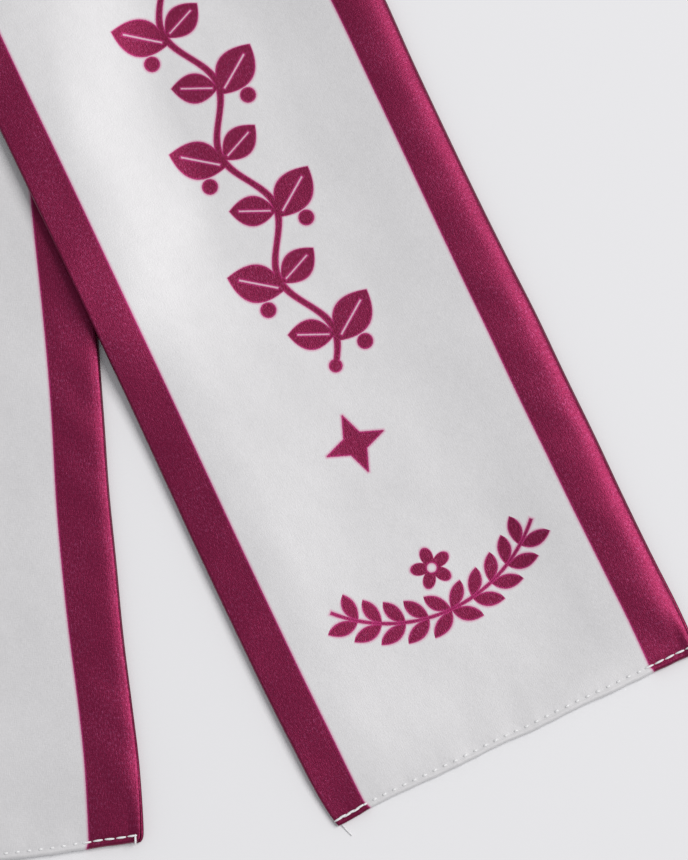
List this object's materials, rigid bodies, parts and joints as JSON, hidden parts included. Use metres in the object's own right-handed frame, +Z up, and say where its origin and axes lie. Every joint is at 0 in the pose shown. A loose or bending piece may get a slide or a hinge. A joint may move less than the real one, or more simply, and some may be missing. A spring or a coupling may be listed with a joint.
{
  "type": "pageant sash",
  "caption": "Long satin sash with coloured edge bands, laid flat with one tail crossed over the other and hemmed at both ends.",
  "frame": {"origin": "on the table, at the middle of the laid sash's bounding box", "axes": "+Y from the two hems towards the neck fold, +Z up from the table, +X to the side on which the front tail's hem lies"},
  "size_m": [0.244, 0.8955, 0.0052],
  "materials": {
    "printed_satin": "white polyester satin with a printed raspberry band along each long edge",
    "plain_satin": "white polyester satin with raspberry edges"
  },
  "bodies": {
    "root": {"front_tail_face": "printed_satin", "front_tail_back": "plain_satin", "neck_face": "printed_satin", "neck_back": "plain_satin", "back_tail_face": "printed_satin", "back_tail_back": "plain_satin"}
  },
  "joints": []
}
